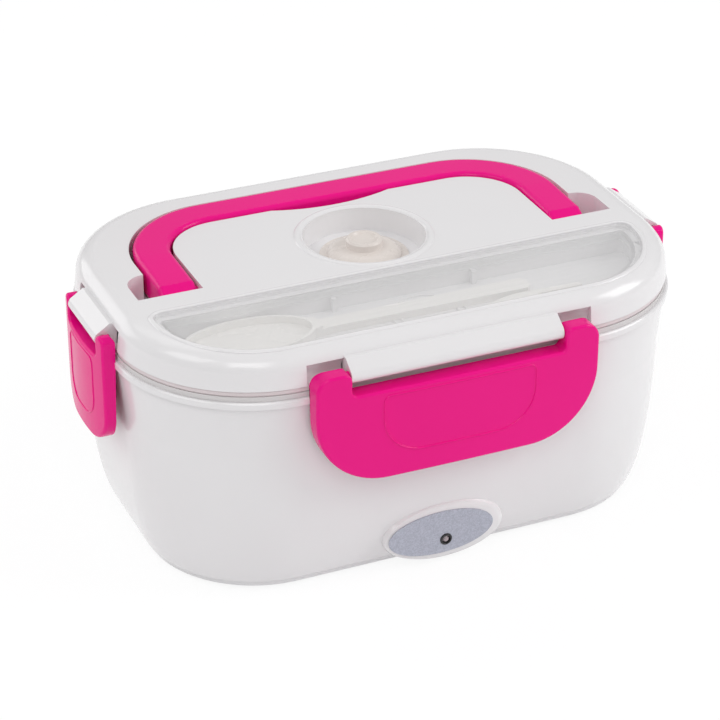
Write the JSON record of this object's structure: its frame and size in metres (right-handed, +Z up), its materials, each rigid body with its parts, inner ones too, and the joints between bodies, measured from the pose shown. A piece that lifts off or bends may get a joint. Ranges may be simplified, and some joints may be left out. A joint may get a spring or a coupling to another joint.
{
  "type": "electric lunch box",
  "caption": "Heated oval-cornered lunch box: lift-off lid held by edge latches, folding top handle, steam vent, utensil well and lift-out tray.",
  "frame": {"origin": "centre of the footprint, on the surface that the feet stand on", "axes": "+X along the box's length, +Y from the front latch and the indicator to the rear, +Z up"},
  "size_m": [0.2412, 0.1652, 0.106],
  "materials": {
    "white_body": "glossy moulded plastic",
    "base_grey": "satin",
    "pink": "glossy",
    "clear_tray": "translucent",
    "clear_cover": "clear, slightly hazy",
    "silicone": "translucent silicone",
    "foot_rubber": "matt",
    "steel": "bright",
    "aluminium": "satin",
    "black": "satin",
    "board": "satin",
    "lens": "clear lens",
    "indicator": "finely speckled",
    "utensil": "glossy"
  },
  "bodies": {
    "base": {"outer_body": "white_body", "base_cover": "base_grey", "rubber_feet": "foot_rubber", "base_screws": "steel", "inner_liner": "white_body", "heating_plate": "aluminium", "ptc_heater": "aluminium", "heater_clamp": "steel", "clamp_screws": "steel", "thermal_cutout": "black", "power_inlet": "black", "inlet_pins": "steel", "led_board": "board", "led_lamp": "lens", "indicator_ring": "black", "indicator_plate": "indicator"},
    "tray": {"food_tray": "clear_tray"},
    "side_box": {"side_box": "clear_tray"},
    "side_box_lid": {"side_box_lid": "white_body"},
    "lid": {"lid_shell": "white_body", "lid_liner": "white_body", "lid_seal": "silicone"},
    "vent_valve": {"vent_valve": "silicone"},
    "handle": {"handle": "pink"},
    "utensil_cover": {"utensil_cover": "clear_cover"},
    "spoon": {"spoon": "utensil"},
    "fork": {"fork": "utensil"},
    "latch_front": {"latch_front": "pink"},
    "latch_rear": {"latch_rear": "pink"},
    "latch_left": {"latch_left": "pink"},
    "latch_right": {"latch_right": "pink"}
  },
  "joints": [
    {"name": "lid_lift", "type": "slide", "parent": "base", "child": "lid", "axis": [0, 0, 1], "range_m": [0, 0.2]},
    {"name": "tray_lift", "type": "slide", "parent": "base", "child": "tray", "axis": [0, 0, 1], "range_m": [0, 0.07]},
    {"name": "side_box_lift", "type": "slide", "parent": "tray", "child": "side_box", "axis": [0, 0, 1], "range_m": [0, 0.05]},
    {"name": "side_box_lid_lift", "type": "slide", "parent": "side_box", "child": "side_box_lid", "axis": [0, 0, 1], "range_m": [0, 0.04]},
    {"name": "vent_valve_pull", "type": "slide", "parent": "lid", "child": "vent_valve", "axis": [0, 0, 1], "range_m": [0, 0.003]},
    {"name": "handle_swing", "type": "hinge", "parent": "lid", "child": "handle", "pos_m": [0, -0.0032, 0.09975], "axis": [1, 0, 0], "range_deg": [0, 90]},
    {"name": "utensil_cover_lift", "type": "slide", "parent": "lid", "child": "utensil_cover", "axis": [0, 0, 1], "range_m": [0, 0.06]},
    {"name": "spoon_lift", "type": "slide", "parent": "lid", "child": "spoon", "axis": [0, 0, 1], "range_m": [0, 0.024]},
    {"name": "fork_lift", "type": "slide", "parent": "lid", "child": "fork", "axis": [0, 0, 1], "range_m": [0, 0.036]},
    {"name": "latch_front_hinge", "type": "hinge", "parent": "lid", "child": "latch_front", "pos_m": [0, -0.0769, 0.0949], "axis": [-1, 0, 0], "range_deg": [0, 100]},
    {"name": "latch_rear_hinge", "type": "hinge", "parent": "lid", "child": "latch_rear", "pos_m": [0, 0.0769, 0.0949], "axis": [1, 0, 0], "range_deg": [0, 100]},
    {"name": "latch_left_hinge", "type": "hinge", "parent": "lid", "child": "latch_left", "pos_m": [-0.1149, 0, 0.0949], "axis": [0, 1, 0], "range_deg": [0, 100]},
    {"name": "latch_right_hinge", "type": "hinge", "parent": "lid", "child": "latch_right", "pos_m": [0.1149, 0, 0.0949], "axis": [0, -1, 0], "range_deg": [0, 100]}
  ],
  "couplings": [
    {"joint": "tray_lift", "follows": "lid_lift", "ratio": 0.35},
    {"joint": "side_box_lift", "follows": "lid_lift", "ratio": 0.25},
    {"joint": "side_box_lid_lift", "follows": "lid_lift", "ratio": 0.2},
    {"joint": "spoon_lift", "follows": "utensil_cover_lift", "ratio": 0.4},
    {"joint": "fork_lift", "follows": "utensil_cover_lift", "ratio": 0.6}
  ]
}
